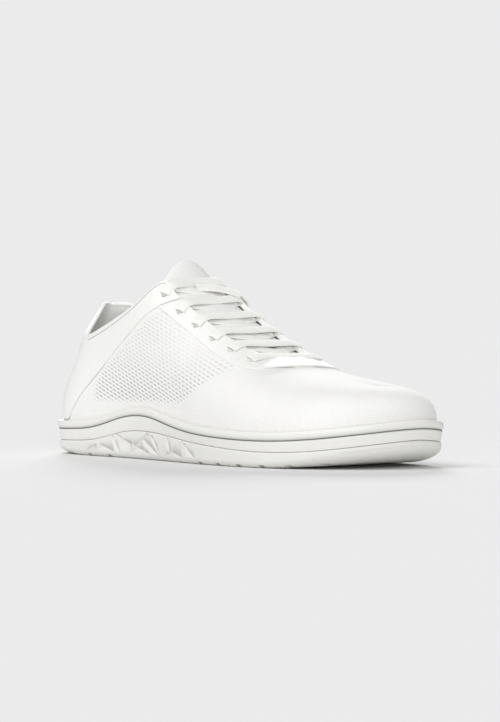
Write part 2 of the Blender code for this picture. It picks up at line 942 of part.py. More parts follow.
outsole = make_outsole(ring_places)
make_bottom_cutters()
make_side_cutters()
cut(outsole, groove_cutters)
colour(outsole, "outsole_rubber", RUBBER, 0.55)
colour(make_midsole(ring_places), "midsole_rubber", RUBBER, 0.5)
colour(make_insole(ring_places), "insole_foam", PANEL, 0.9)

make_eyelet_cutters()
upper = make_upper()
cut(upper, eyelet_cutters)
colour(upper, "upper_knit", KNIT, 0.9)
counter = make_counter()
cut(counter, eyelet_cutters)
colour(counter, "counter_film", PANEL, 0.6)
eyestay = make_eyestay()
cut(eyestay, eyelet_cutters)
colour(eyestay, "eyestay_film", PANEL, 0.6)
colour(make_tongue(), "tongue_fabric", KNIT, 0.9)
colour(make_tape(), "heel_webbing", KNIT, 0.85)
colour(make_lace(), "lace_cord", KNIT, 0.85)
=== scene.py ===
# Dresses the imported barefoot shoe: knit upper, films, lace, tongue, collar, rubber sole.
import math

import bmesh
import bpy
import numpy as np
from mathutils import Matrix, Vector


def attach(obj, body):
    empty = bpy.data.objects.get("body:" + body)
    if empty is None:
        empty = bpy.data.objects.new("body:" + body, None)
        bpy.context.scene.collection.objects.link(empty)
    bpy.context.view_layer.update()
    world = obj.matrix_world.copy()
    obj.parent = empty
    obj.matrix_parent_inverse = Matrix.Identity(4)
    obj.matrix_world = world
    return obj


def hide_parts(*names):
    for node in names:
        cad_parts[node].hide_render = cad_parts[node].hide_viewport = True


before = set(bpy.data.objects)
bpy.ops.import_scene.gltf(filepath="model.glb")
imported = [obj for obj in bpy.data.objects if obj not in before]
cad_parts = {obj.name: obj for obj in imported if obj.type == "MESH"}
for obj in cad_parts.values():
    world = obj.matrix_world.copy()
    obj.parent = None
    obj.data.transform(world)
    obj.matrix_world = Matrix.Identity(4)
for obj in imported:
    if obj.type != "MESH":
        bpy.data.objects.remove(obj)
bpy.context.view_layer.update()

# Driving sizes of the sole
soleLength = 0.285
ballWidth = 0.104
rimBase = 0.0194
bumpRise = 0.0102
stepBase = 0.0084
stepRise = 0.0076
toeSpring = 0.0068
treadThickness = 0.0045
sideWall = 0.0022
endWall = 0.0027
midsoleThickness = 0.0032
rimWall = 0.0034
beadHeight = 0.0042
grooveWidth = 0.0012
grooveDepth = 0.0014
bandRecess = 0.0018
edgeRoll = 0.0045
edgeRollHeight = 0.0038
endRoll = 0.0130
endRollHeight = 0.0058

# Driving sizes of the upper and what lies in and on it
upperWall = 0.0018
heelHeight = 0.0885
collarDip = 0.0690
throatTop = 0.1015
instepHeight = 0.0785
throatHalf = 0.0190
throatStart = 0.1180
throatEnd = 0.1920
throatRound = 2.5
stayTopWidth = 0.0070
stayWidth = 0.0148
stayFront = 0.0108
stayCorner = 0.0120
stayRound = 3.0
stayThickness = 0.0008
counterThickness = 0.0009
counterEnd = 0.1208
tongueThickness = 0.0032
tongueHalf = 0.0310
tongueTop = 0.1030
tongueCorner = 0.0060
tongueEnd = 0.2010
eyeletCount = 6
eyeletRadius = 0.0021
eyeletFirst = 0.1885
eyeletLast = 0.1115
eyeletInset = 0.0035
eyeletFlare = 0.0042

# Clearance between pieces
gap = 0.0003

# Tread pattern
bottomGrooveWidth = 0.0035
bottomGrooveDepth = 0.0015

# Outline of the sole: along is a share of its length, the rest are shares of the ball width
outlineTable = (
    ("along", "outer", "inner"),
    (0.000, 0.000, 0.000),
    (0.020, -0.178, 0.170),
    (0.070, -0.292, 0.283),
    (0.160, -0.338, 0.329),
    (0.300, -0.358, 0.334),
    (0.440, -0.402, 0.362),
    (0.550, -0.456, 0.410),
    (0.660, -0.496, 0.472),
    (0.765, -0.490, 0.502),
    (0.860, -0.425, 0.487),
    (0.933, -0.296, 0.420),
    (0.982, -0.106, 0.307),
    (1.000, 0.110, 0.110),
)

# Side of the sole: rim is a share of the bump's rise, step a share of the step's rise
sideTable = (
    ("along", "rim", "step"),
    (0.000, 0.10, 0.00),
    (0.140, 0.10, 0.02),
    (0.200, 0.23, 0.16),
    (0.260, 0.56, 0.52),
    (0.310, 0.86, 0.86),
    (0.360, 1.00, 1.00),
    (0.410, 0.94, 0.97),
    (0.470, 0.65, 0.80),
    (0.540, 0.34, 0.54),
    (0.630, 0.12, 0.28),
    (0.750, 0.00, 0.04),
    (1.000, 0.00, 0.00),
)

# Ridge above the foot and middle of the throat: middle is a share of the sole's length,
# side and throat are shares of the ball width
ridgeTable = (
    ("along", "middle", "side", "throat"),
    (0.00, 0.130, 0.000, 0.000),
    (0.05, 0.165, 0.000, 0.000),
    (0.15, 0.230, 0.000, 0.000),
    (0.30, 0.325, 0.010, 0.000),
    (0.42, 0.425, 0.020, -0.012),
    (0.52, 0.522, 0.020, -0.012),
    (0.60, 0.600, 0.020, 0.000),
    (0.67, 0.667, 0.023, 0.022),
    (0.75, 0.742, 0.035, 0.035),
    (0.87, 0.835, 0.060, 0.060),
    (0.95, 0.872, 0.080, 0.080),
    (1.00, 0.885, 0.090, 0.090),
)

# Height of the ridge as a share of the instep height, with along at the ridge itself
crestTable = (
    ("along", "height"),
    (0.130, 1.900),
    (0.240, 1.800),
    (0.320, 1.600),
    (0.370, 1.485),
    (0.400, 1.367),
    (0.455, 1.197),
    (0.505, 1.082),
    (0.560, 0.965),
    (0.607, 0.863),
    (0.660, 0.752),
    (0.720, 0.665),
    (0.760, 0.634),
    (0.850, 0.578),
    (0.890, 0.545),
)

# How the section rises from the rim to the ridge: low powers are boxy, high ones lean in
sectionTable = (
    ("along", "inPower", "upPower"),
    (0.00, 1.00, 1.00),
    (0.30, 0.85, 0.93),
    (0.40, 0.77, 0.93),
    (0.50, 0.78, 0.93),
    (0.58, 0.86, 0.92),
    (0.66, 0.68, 0.90),
    (0.74, 0.65, 0.88),
    (0.88, 0.72, 0.82),
    (1.00, 0.74, 0.78),
)

# Back of the heel: height is a share of the heel height, draw a share of the way to the ridge
heelBackTable = (
    ("height", "draw"),
    (0.20, 0.00),
    (0.35, 0.01),
    (0.46, 0.06),
    (0.57, 0.15),
    (0.68, 0.23),
    (0.82, 0.29),
    (1.00, 0.35),
)
heelTabLean = 0.0100
heelReach = 0.40

# Collar line above its dip: shares of the rise to the heel tab, and of the rise to the throat
collarTable = (
    ("along", "tabOuter", "tabInner", "throat"),
    (0.000, 1.00, 1.00, 0.00),
    (0.010, 0.97, 1.00, 0.00),
    (0.028, 0.62, 0.99, 0.00),
    (0.055, 0.12, 0.93, 0.00),
    (0.085, 0.00, 0.75, 0.02),
    (0.130, 0.00, 0.45, 0.09),
    (0.240, 0.00, 0.12, 0.36),
    (0.330, 0.00, 0.02, 0.73),
    (0.370, 0.00, 0.00, 0.97),
    (0.414, 0.00, 0.00, 1.12),
)

# Lower edge of the heel panel: height runs from 0 at the rim to 1 at the throat's top
seamTable = (
    ("along", "height"),
    (0.085, -0.05),
    (0.110, 0.07),
    (0.150, 0.22),
    (0.195, 0.36),
    (0.240, 0.49),
    (0.295, 0.62),
    (0.355, 0.76),
    (0.400, 0.84),
    (0.450, 0.89),
)

# Rise of the lace and of the tongue over the throat, as shares of the throat's half width
archTable = (
    ("along", "lace", "tongue"),
    (0.350, 0.16, 0.80),
    (0.368, 0.13, 0.42),
    (0.385, 0.10, 0.21),
    (0.410, 0.05, 0.16),
    (0.455, 0.02, 0.16),
    (0.580, 0.02, 0.10),
    (0.640, 0.02, 0.00),
    (0.700, 0.02, 0.00),
)

# Lines of the side lugs: both ends along the sole, and their heights as shares of the step's
sideLugs = (
    ("start", "startHeight", "end", "endHeight"),
    (0.215, 0.62, 0.160, 0.06),
    (0.235, 0.60, 0.300, 0.12),
    (0.275, 0.93, 0.300, 0.24),
    (0.285, 0.98, 0.345, 0.50),
    (0.405, 0.95, 0.330, 0.10),
    (0.350, 0.50, 0.425, 0.14),
    (0.390, 0.72, 0.455, 0.12),
    (0.420, 0.88, 0.450, 0.30),
    (0.500, 0.42, 0.455, 0.06),
    (0.505, 0.40, 0.570, 0.10),
    (0.485, 0.94, 0.492, 0.46),
    (0.540, 0.96, 0.600, 0.12),
)


def column(table, name):
    place = table[0].index(name)
    return [row[place] for row in table[1:]]


def smoothCurve(places, values):
    # Natural cubic curve through the table's rows, held level past its ends.
    places = np.asarray(places, float)
    values = np.asarray(values, float)
    gaps = np.diff(places)
    slopes = np.diff(values) / gaps
    count = len(places)
    matrix = np.eye(count)
    target = np.zeros(count)
    for i in range(1, count - 1):
        matrix[i, i - 1 : i + 2] = gaps[i - 1], 2 * (gaps[i - 1] + gaps[i]), gaps[i]
        target[i] = 6 * (slopes[i] - slopes[i - 1])
    bends = np.linalg.solve(matrix, target)

    def read(place):
        place = min(max(place, places[0]), places[-1])
        i = min(int(np.searchsorted(places, place, side="right")) - 1, count - 2)
        gap = gaps[i]
        left = (place - places[i]) / gap
        right = 1 - left
        bend = (left**3 - left) * bends[i + 1] + (right**3 - right) * bends[i]
        return float(left * values[i + 1] + right * values[i] + bend * gap * gap / 6)

    return read


def turn(along):
    # Places bunch up at heel and toe, where the outline turns.
    return math.acos(1 - 2 * along) / math.pi


def alongOf(t):
    return (1 - math.cos(math.pi * t)) / 2


def ringCurve(table, outer, inner):
    # A value all round the shoe: t is 0 at the heel, 1 at the toe and 2 at the heel again.
    along = column(table, "along")
    first = [(turn(a), v) for a, v in zip(along, column(table, outer))]
    back = [(2 - turn(a), v) for a, v in zip(along, column(table, inner))][1:-1]
    ring = first + back[::-1]
    rows = [(t - 2, v) for t, v in ring[-4:]] + ring + [(t + 2, v) for t, v in ring[:5]]
    curve = smoothCurve([t for t, _ in rows], [v for _, v in rows])
    return lambda t: curve(t % 2)


def halfCurve(table, name):
    curve = smoothCurve([turn(a) for a in column(table, "along")], column(table, name))
    return lambda t: curve(1 - abs(1 - t % 2))


def plainCurve(table, name, value):
    return smoothCurve(column(table, name), column(table, value))


outlineSide = ringCurve(outlineTable, "outer", "inner")
rimShare = halfCurve(sideTable, "rim")
stepShare = halfCurve(sideTable, "step")
ridgeMiddle = halfCurve(ridgeTable, "middle")
ridgeSide = halfCurve(ridgeTable, "side")
throatSide = halfCurve(ridgeTable, "throat")
crestShare = plainCurve(crestTable, "along", "height")
inPower = halfCurve(sectionTable, "inPower")
upPower = halfCurve(sectionTable, "upPower")
heelDraw = plainCurve(heelBackTable, "height", "draw")
tabShare = ringCurve(collarTable, "tabOuter", "tabInner")
collarShare = halfCurve(collarTable, "throat")
seamShare = halfCurve(seamTable, "height")
laceArch = plainCurve(archTable, "along", "lace")
tongueArch = plainCurve(archTable, "along", "tongue")


def eased(share):
    share = min(max(share, 0.0), 1.0)
    return share * share * (3 - 2 * share)


def edge(t, inset=0.0):
    # Point of the sole's outline, moved inwards by the inset.
    step = 1e-3
    point = Vector((soleLength * alongOf(t), ballWidth * outlineSide(t)))
    if not inset:
        return point
    way = edge(t + step) - edge(t - step)
    return point + Vector((-way.y, way.x)).normalized() * inset


def middle(t):
    return Vector((soleLength * ridgeMiddle(t), ballWidth * ridgeSide(t)))


def spring(x):
    # The sole is flat up to the ball and rises from there to the toe.
    start = 0.72 * soleLength
    return toeSpring * max(0.0, (x - start) / (soleLength - start)) ** 2.5


def rimHeight(t):
    return rimBase + bumpRise * rimShare(t) + spring(edge(t).x)


def stepHeight(t):
    return stepBase + stepRise * stepShare(t) + spring(edge(t).x)


def floorHeight(x):
    return treadThickness + gap + midsoleThickness + spring(x)


def columnsBetween(stops):
    # Places from heel to toe on one side, with a count of steps between each pair of stops.
    places = []
    for (start, _), (end, count) in zip(stops, stops[1:]):
        a, b = turn(start), turn(end)
        places += [a + (b - a) * i / count for i in range(count)]
    return places + [turn(stops[-1][0])]


def endShare(t):
    # 1 at the toe and the heel, 0 between them.
    share = alongOf(t)
    return max(eased((share - 0.78) / 0.22), eased((0.17 - share) / 0.17))


def rollDepth(t):
    # The bottom edge is rolled more at the toe and the heel than along the sides.
    return edgeRoll + (endRoll - edgeRoll) * endShare(t)


def rollHeight(t):
    return edgeRollHeight + (endRollHeight - edgeRollHeight) * endShare(t)


def treadWall(t):
    return sideWall + (endWall - sideWall) * endShare(t)


def crestHeight(x):
    return instepHeight * crestShare(x / soleLength)


def skin(t, w, lift=0.0):
    # The upper's outer face: w is 0 at the rim, 1 at the ridge and -1 at its tucked-in lower edge.
    if lift:
        step = 2e-3
        up = min(max(w, -1 + step), 1 - 2 * step)
        along = skin(t + step, up) - skin(t - step, up)
        across = skin(t, up + step) - skin(t, up - step)
        return skin(t, w) + along.cross(across).normalized() * lift
    start = edge(t, rimWall + gap)
    rim = rimHeight(t)
    low = floorHeight(start.x) + gap
    if w <= 0:
        return Vector((*start, rim + (rim - low) * w))
    end = middle(t)
    crest = crestHeight(end.x)
    angle = w * math.pi / 2
    inwards = 1 - max(math.cos(angle), 0.0) ** inPower(t)
    height = rim + (crest - rim) * math.sin(angle) ** upPower(t)
    reach = 1 - eased(alongOf(t) / heelReach)
    share = height / heelHeight
    inwards = 1 - (1 - inwards) * (1 - heelDraw(share) * reach)
    point = start.lerp(end, inwards)
    point.x += heelTabLean * eased((share - 0.72) / 0.28) * reach**4
    return Vector((*point, height))


def search(test, low=0.0, high=1.0):
    # The w at which a rising test passes zero.
    for _ in range(40):
        centre = (low + high) / 2
        if test(centre) < 0:
            low = centre
        else:
            high = centre
    return (low + high) / 2


def wAtHeight(t, height):
    return search(lambda w: skin(t, w).z - height)


def wAtReach(t, distance):
    # Where the skin has come within this distance of the throat's middle line.
    line = ballWidth * throatSide(t)
    outwards = -1 if t % 2 < 1 else 1
    return search(lambda w: distance - outwards * (skin(t, w).y - line))


def collarHeight(t):
    tab = (heelHeight - collarDip) * tabShare(t)
    return collarDip + tab + (throatTop - collarDip) * collarShare(t)


def roundedHalf(x, half, start, end):
    # Half the width of a slot that narrows to a round end.
    if x >= end:
        return 0.0
    share = max(0.0, (x - start) / (end - start))
    return half * (1 - share**throatRound) ** (1 / throatRound)


def throatW(t):
    x = soleLength * alongOf(t)
    half = roundedHalf(x, throatHalf, throatEnd - throatHalf, throatEnd)
    return wAtReach(t, half) if half else 1.0


def topW(t):
    # The upper's free edge: the collar, the throat, or the ridge in front of it.
    collar = wAtHeight(t, collarHeight(t))
    if alongOf(t) < 0.33:
        return collar
    opening = throatW(t)
    return min(opening, collar) if opening < 1 else 1.0


def throatPlaces():
    start = throatStart / soleLength
    bend = (throatEnd - throatHalf) / soleLength
    end = throatEnd / soleLength
    places = columnsBetween(((0, 0), (0.085, 7), (0.25, 6), (start, 5), (bend, 6)))
    for partOpen in (0.85, 0.7, 0.5, 0.25):
        share = (1 - partOpen**throatRound) ** (1 / throatRound)
        places.append(turn(bend + (end - bend) * share))
    return places + columnsBetween(((end, 0), (0.88, 6), (1, 9)))


def seamHeight(t):
    return rimBase + (throatTop - rimBase) * seamShare(t)


def over(x, y, lift):
    # A point above the closed skin at this place in plan.
    t = turn(x / soleLength)
    t = t if y < 0 else 2 - t
    return skin(t, wAtReach(t, abs(y)), lift)


def span(x, y, lift, arch):
    # As above, but nearly straight across the throat, with a rise in its middle.
    if abs(y) >= throatHalf:
        return over(x, y, lift)
    share = y / throatHalf
    near = over(x, -throatHalf, lift)
    far = over(x, throatHalf, lift)
    rise = Vector((0, 0, throatHalf * arch(x / soleLength) * (1 - share * share)))
    return near.lerp(far, (share + 1) / 2) + rise


def seamX(side, reach):
    # Where the heel panel's lower edge crosses the skin at this distance from the ridge.
    def past(share):
        x = throatStart + (throatEnd - throatStart) * (share - 0.5)
        return seamHeight(turn(x / soleLength)) - over(x, side * reach, 0.0).z

    return throatStart + (throatEnd - throatStart) * (search(past) - 0.5)


def horseshoe(share):
    # A line of the eyestay in plan, from one leg round the front to the other leg:
    # share 0 is the throat's edge and 1 the outer edge.
    top = throatHalf + gap + stayTopWidth * share
    half = throatHalf + gap + stayWidth * share
    end = throatEnd + gap + stayFront * share
    corner = throatEnd - throatHalf + stayCorner * share
    power = 2 / (throatRound + (stayRound - throatRound) * share)
    outerLeg, innerLeg = [], []
    for side, leg in ((-1, outerLeg), (1, innerLeg)):
        start = seamX(side, top) + 3 * gap
        for i in range(7):
            x = start + (corner - start) * i / 7
            leg.append((x, side * (top + (half - top) * (i / 7) ** 1.8)))
    front = []
    for i in range(17):
        angle = math.radians(90 * (i / 8 - 1))
        ahead = max(math.cos(angle), 0.0) ** power
        across = math.copysign(abs(math.sin(angle)) ** power, angle)
        front.append((corner + (end - corner) * ahead, half * across))
    return outerLeg + front + innerLeg[::-1]


def eyeletX(i):
    return eyeletFirst + (eyeletLast - eyeletFirst) * i / (eyeletCount - 1)


def eyeletPlace(i, side):
    # The outer row runs away from the throat's edge towards the toe.
    inset = eyeletInset
    if side < 0:
        inset += eyeletFlare * (1 - i / (eyeletCount - 1))
    return eyeletX(i), side * (throatHalf + inset)


def sidePoint(t, share):
    point = edge(t, bandRecess / 2)
    return Vector((*point, stepHeight(t) * share))


# The frame's origin is at the middle of the sole's outline
reaches = [ballWidth * outlineSide(i / 200) for i in range(400)]
shoeOrigin = Vector((-soleLength / 2, -(min(reaches) + max(reaches)) / 2, 0.0))


# Building helpers


def finer(places, parts):
    # The same places with this many steps between each pair.
    found = []
    for a, b in zip(places, places[1:]):
        found += [a + (b - a) * i / parts for i in range(parts)]
    return found + [places[-1]]


def gridPiece(name, rows, runs=None):
    # A grid whose points are moved onto the rows; its maps hold metres.
    columns, lines = len(rows[0]), len(rows)
    body = bmesh.new()
    bmesh.ops.create_grid(body, x_segments=columns - 1, y_segments=lines - 1, size=1.0)
    order = sorted(body.verts, key=lambda v: (round(v.co.y, 5), round(v.co.x, 5)))
    sideMap = body.loops.layers.uv.new("side")
    runMap = body.loops.layers.uv.new("run")
    places = {}
    for index, point in enumerate(order):
        i, j = index % columns, index // columns
        here = rows[j][i]
        run = runs[j][i] if runs else (0.0, 0.0)
        places[point] = (here.x, here.z), run
        point.co = here + shoeOrigin
    for face in body.faces:
        face.smooth = True
        for corner in face.loops:
            corner[sideMap].uv = places[corner.vert][0]
            corner[runMap].uv = places[corner.vert][1]
    bmesh.ops.remove_doubles(body, verts=body.verts, dist=2e-6)
    return finishPiece(name, body)


def finishPiece(name, body):
    mesh = bpy.data.meshes.new(name)
    body.to_mesh(mesh)
    body.free()
    piece = bpy.data.objects.new(name, mesh)
    bpy.context.scene.collection.objects.link(piece)
    return piece


def girths(places, inset=0.004):
    # How far round the rim each place is, in metres.
    far = [0.0]
    for a, b in zip(places, places[1:]):
        far.append(far[-1] + (edge(b, inset) - edge(a, inset)).length)
    return far


def lengthsUp(rows):
    # How far up its column each point is, in metres.
    found = [[0.0] * len(rows[0])]
    for low, high in zip(rows, rows[1:]):
        found.append([v + (b - a).length for v, a, b in zip(found[-1], low, high)])
    return found


def runsOf(places, rows):
    return [[(u, v) for u, v in zip(girths(places), line)] for line in lengthsUp(rows)]


def addWall(piece, thickness, offset, rimSlot=0, innerSlot=0):
    wall = piece.modifiers.new("wall", "SOLIDIFY")
    wall.thickness = thickness
    wall.offset = offset
    wall.material_offset = innerSlot
    wall.material_offset_rim = rimSlot
    return wall


def applyAll(piece):
    graph = bpy.context.evaluated_depsgraph_get()
    mesh = bpy.data.meshes.new_from_object(piece.evaluated_get(graph))
    piece.modifiers.clear()
    piece.data = mesh


def cutWith(piece, cutters):
    # Cuts each of the loose cutter meshes out of the piece.
    tool = bpy.data.objects.new("tool", bpy.data.meshes.new("tool"))
    body = bmesh.new()
    for cutter in cutters:
        body.from_mesh(cutter)
    body.to_mesh(tool.data)
    body.free()
    bpy.context.scene.collection.objects.link(tool)
    hole = piece.modifiers.new("cut", "BOOLEAN")
    hole.operation = "DIFFERENCE"
    hole.object = tool
    hole.solver = "EXACT"
    hole.use_self = True
    applyAll(piece)
    bpy.data.objects.remove(tool, do_unlink=True)


def dress(piece, materials, nodes=()):
    piece.data.materials.clear()
    for material in materials:
        piece.data.materials.append(material)
    if nodes:
        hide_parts(*nodes)
    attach(piece, "root")


# Materials


def add(tree, kind, sockets=None, **settings):
    # One node, with each named or numbered socket set or linked.
    made = tree.nodes.new(kind)
    for key, value in settings.items():
        setattr(made, key, value)
    for key, value in (sockets or {}).items():
        if isinstance(value, bpy.types.NodeSocket):
            tree.links.new(value, made.inputs[key])
        else:
            made.inputs[key].default_value = value
    return made


def calc(tree, operation, a, b=0.0, c=0.0):
    return add(tree, "ShaderNodeMath", {0: a, 1: b, 2: c}, operation=operation).outputs[0]


def startMaterial(name, roughness, sheen=0.0, coat=0.0):
    material = bpy.data.materials.new(name)
    material.use_nodes = True
    tree = material.node_tree
    surface = tree.nodes["Principled BSDF"]
    surface.inputs["Roughness"].default_value = roughness
    surface.inputs["Sheen Weight"].default_value = sheen
    surface.inputs["Sheen Roughness"].default_value = 0.45
    surface.inputs["Coat Weight"].default_value = coat
    surface.inputs["Coat Roughness"].default_value = 0.35
    return material, tree, surface


def mixColours(tree, share, first, second):
    mixed = add(tree, "ShaderNodeMix", data_type="RGBA")
    for socket, value in ((mixed.inputs[0], share), (mixed.inputs[6], first), (mixed.inputs[7], second)):
        if isinstance(value, bpy.types.NodeSocket):
            tree.links.new(value, socket)
        else:
            socket.default_value = value
    return mixed.outputs[2]


def knitGroup():
    # Height of a fine ribbed knit from a place in millimetres.
    group = bpy.data.node_groups.new("fineKnit", "ShaderNodeTree")
    group.interface.new_socket("Place", in_out="INPUT", socket_type="NodeSocketVector")
    group.interface.new_socket("Pitch", in_out="INPUT", socket_type="NodeSocketFloat")
    group.interface.new_socket("Height", in_out="OUTPUT", socket_type="NodeSocketFloat")
    given = group.nodes.new("NodeGroupInput")
    result = group.nodes.new("NodeGroupOutput")
    split = add(group, "ShaderNodeSeparateXYZ", {0: given.outputs["Place"]})
    ribs = calc(group, "SINE", calc(group, "DIVIDE", split.outputs[0], given.outputs["Pitch"]))
    stitch = calc(group, "MULTIPLY", split.outputs[1], 4.4)
    stitch = calc(group, "SINE", calc(group, "ADD", stitch, calc(group, "MULTIPLY", ribs, 1.3)))
    grain = add(group, "ShaderNodeTexNoise", {"Vector": given.outputs["Place"], "Scale": 0.9, "Detail": 3.0})
    height = calc(group, "MULTIPLY_ADD", ribs, 0.32, 0.5)
    height = calc(group, "MULTIPLY_ADD", stitch, 0.16, height)
    height = calc(group, "MULTIPLY_ADD", grain.outputs[0], 0.5, height)
    group.links.new(height, result.inputs["Height"])
    return group


def millimetres(tree, mapName):
    place = add(tree, "ShaderNodeUVMap", uv_map=mapName).outputs[0]
    return add(tree, "ShaderNodeVectorMath", {0: place, 3: 1000.0}, operation="SCALE").outputs[0]


def objectMillimetres(tree):
    place = add(tree, "ShaderNodeTexCoord").outputs["Object"]
    return add(tree, "ShaderNodeVectorMath", {0: place, 3: 1000.0}, operation="SCALE").outputs[0]


knitLooks = {
    "colour": (0.90, 0.895, 0.88, 1.0),
    "shade": (0.79, 0.785, 0.77, 1.0),
    "hole": (0.20, 0.20, 0.19, 1.0),
    "ribPitch": 0.21,
    "bump": 0.35,
    "slitRow": 1.95,
    "slitLength": 4.6,
    "slitAngle": -0.33,
    "slitHalfWidth": 0.16,
    "slitHalfLength": 0.36,
}


def makeKnit(name, perforated):
    material, tree, surface = startMaterial(name, 0.86, sheen=0.25)
    place = millimetres(tree, "run")
    knit = add(tree, "ShaderNodeGroup", node_tree=knitRelief)
    tree.links.new(place, knit.inputs["Place"])
    knit.inputs["Pitch"].default_value = knitLooks["ribPitch"]
    height = knit.outputs["Height"]
    broad = add(tree, "ShaderNodeTexNoise", {"Vector": place, "Scale": 0.045, "Detail": 2.0})
    # The knit's low places take the shade colour: painted shade in the rib hollows, mixed with a broad
    # random change of tone.
    tone = calc(tree, "MULTIPLY_ADD", height, 0.35, calc(tree, "MULTIPLY", broad.outputs[0], 0.55))
    colour = mixColours(tree, tone, knitLooks["shade"], knitLooks["colour"])
    if perforated:
        lean = {"Vector": millimetres(tree, "side"), "Angle": -knitLooks["slitAngle"]}
        turned = add(tree, "ShaderNodeVectorRotate", lean, rotation_type="Z_AXIS")
        split = add(tree, "ShaderNodeSeparateXYZ", {0: turned.outputs[0]})
        row = calc(tree, "DIVIDE", split.outputs[1], knitLooks["slitRow"])
        shift = calc(tree, "MULTIPLY", calc(tree, "FLOOR", row), 0.37)
        step = calc(tree, "ADD", calc(tree, "DIVIDE", split.outputs[0], knitLooks["slitLength"]), shift)
        across = calc(tree, "ABSOLUTE", calc(tree, "SUBTRACT", calc(tree, "FRACT", row), 0.5))
        ahead = calc(tree, "ABSOLUTE", calc(tree, "SUBTRACT", calc(tree, "FRACT", step), 0.5))
        narrow = calc(tree, "LESS_THAN", across, knitLooks["slitHalfWidth"])
        slit = calc(tree, "MULTIPLY", narrow, calc(tree, "LESS_THAN", ahead, knitLooks["slitHalfLength"]))
        # The slits are real openings drawn in colour, not cut: the hole colour is painted shade seen inside
        # them.
        zone = add(tree, "ShaderNodeAttribute", attribute_name="slits").outputs["Fac"]
        mask = calc(tree, "MULTIPLY", slit, zone)
        colour = mixColours(tree, mask, colour, knitLooks["hole"])
        height = calc(tree, "MULTIPLY_ADD", mask, -1.6, height)
    tree.links.new(colour, surface.inputs["Base Color"])
    bump = add(tree, "ShaderNodeBump", {"Strength": knitLooks["bump"], "Distance": 0.0005, "Height": height})
    tree.links.new(bump.outputs[0], surface.inputs["Normal"])
    return material


def makeSoft(name, colour, shade, roughness, scale, depth, sheen, coat):
    # A nearly plain finish with a fine grain and a broad change of tone.
    material, tree, surface = startMaterial(name, roughness, sheen, coat)
    place = objectMillimetres(tree)
    fine = add(tree, "ShaderNodeTexNoise", {"Vector": place, "Scale": scale, "Detail": 4.0})
    broad = add(tree, "ShaderNodeTexNoise", {"Vector": place, "Scale": 0.03, "Detail": 3.0})
    tone = calc(tree, "MULTIPLY_ADD", fine.outputs[0], 0.3, calc(tree, "MULTIPLY", broad.outputs[0], 0.7))
    tree.links.new(mixColours(tree, tone, shade, colour), surface.inputs["Base Color"])
    rough = calc(tree, "MULTIPLY_ADD", fine.outputs[0], 0.16, roughness - 0.08)
    tree.links.new(rough, surface.inputs["Roughness"])
    bump = add(tree, "ShaderNodeBump", {"Strength": depth, "Distance": 0.0004, "Height": fine.outputs[0]})
    tree.links.new(bump.outputs[0], surface.inputs["Normal"])
    return material


def makeWoven(name, colour, shade, lengthPitch, widthPitch):
    # A flat woven band: slanting ribs that meet in the middle.
    material, tree, surface = startMaterial(name, 0.82, sheen=0.3)
    split = add(tree, "ShaderNodeSeparateXYZ", {0: millimetres(tree, "run")})
    slant = calc(tree, "MULTIPLY", calc(tree, "ABSOLUTE", split.outputs[1]), widthPitch)
    wave = calc(tree, "SINE", calc(tree, "MULTIPLY_ADD", split.outputs[0], lengthPitch, slant))
    grain = add(tree, "ShaderNodeTexNoise", {"Vector": objectMillimetres(tree), "Scale": 1.4, "Detail": 3.0})
    height = calc(tree, "MULTIPLY_ADD", wave, 0.35, calc(tree, "MULTIPLY", grain.outputs[0], 0.6))
    # The band's low places take the shade colour: painted shade in the hollows between the ribs, mixed with
    # random grain.
    woven = mixColours(tree, calc(tree, "ADD", height, 0.25), shade, colour)
    tree.links.new(woven, surface.inputs["Base Color"])
    bump = add(tree, "ShaderNodeBump", {"Strength": 0.25, "Distance": 0.0003, "Height": height})
    tree.links.new(bump.outputs[0], surface.inputs["Normal"])
    return material


knitRelief = knitGroup()
upperKnit = makeKnit("upperKnit", True)
tongueKnit = makeKnit("tongueKnit", False)
# Each plain finish: colour, shade, roughness, grain scale, grain depth, sheen, coat
softFinishes = {
    "liningCloth": ((0.93, 0.93, 0.91, 1.0), (0.84, 0.84, 0.82, 1.0), 0.95, 1.1, 0.5, 0.3, 0.0),
    "panelFilm": ((0.90, 0.90, 0.88, 1.0), (0.83, 0.83, 0.81, 1.0), 0.52, 0.9, 0.12, 0.0, 0.12),
    "rimRubber": ((0.85, 0.845, 0.82, 1.0), (0.77, 0.765, 0.74, 1.0), 0.46, 0.8, 0.15, 0.0, 0.1),
    "treadRubber": ((0.82, 0.815, 0.785, 1.0), (0.72, 0.715, 0.69, 1.0), 0.60, 0.9, 0.25, 0.0, 0.0),
    "footCloth": ((0.66, 0.66, 0.64, 1.0), (0.52, 0.52, 0.50, 1.0), 0.95, 1.2, 0.5, 0.0, 0.0),
    "shadowThread": ((0.22, 0.22, 0.22, 1.0), (0.15, 0.15, 0.15, 1.0), 0.9, 1.0, 0.2, 0.0, 0.0),
}
softMade = [makeSoft(name, *finish) for name, finish in softFinishes.items()]
liningCloth, panelFilm, rimRubber, treadRubber, footCloth, shadowThread = softMade
laceWeave = makeWoven("laceWeave", (0.92, 0.92, 0.895, 1.0), (0.80, 0.795, 0.765, 1.0), 6.8, 3.4)
webbing = makeWoven("webbing", (0.88, 0.88, 0.86, 1.0), (0.66, 0.66, 0.64, 1.0), 3.4, 3.0)
print("materials made")


# Sole

soleLooks = {"columnParts": 3, "grooveSide": 0.0009, "grooveDeep": 0.0007, "grooveShadeRadius": 0.00028}


def soleRing(inset, height):
    def at(t):
        point = edge(t, inset(t))
        return Vector((*point, height(t, point)))

    return at


def inTowards(inset, height, share):
    def at(t):
        point = edge(t, inset(t)).lerp(middle(t), share)
        return Vector((*point, height(point.x)))

    return at


def soleBody(name, rings, places):
    rows = [[ring(t) for t in places] for ring in rings]
    return gridPiece(name, rows, runs=runsOf(places, rows))


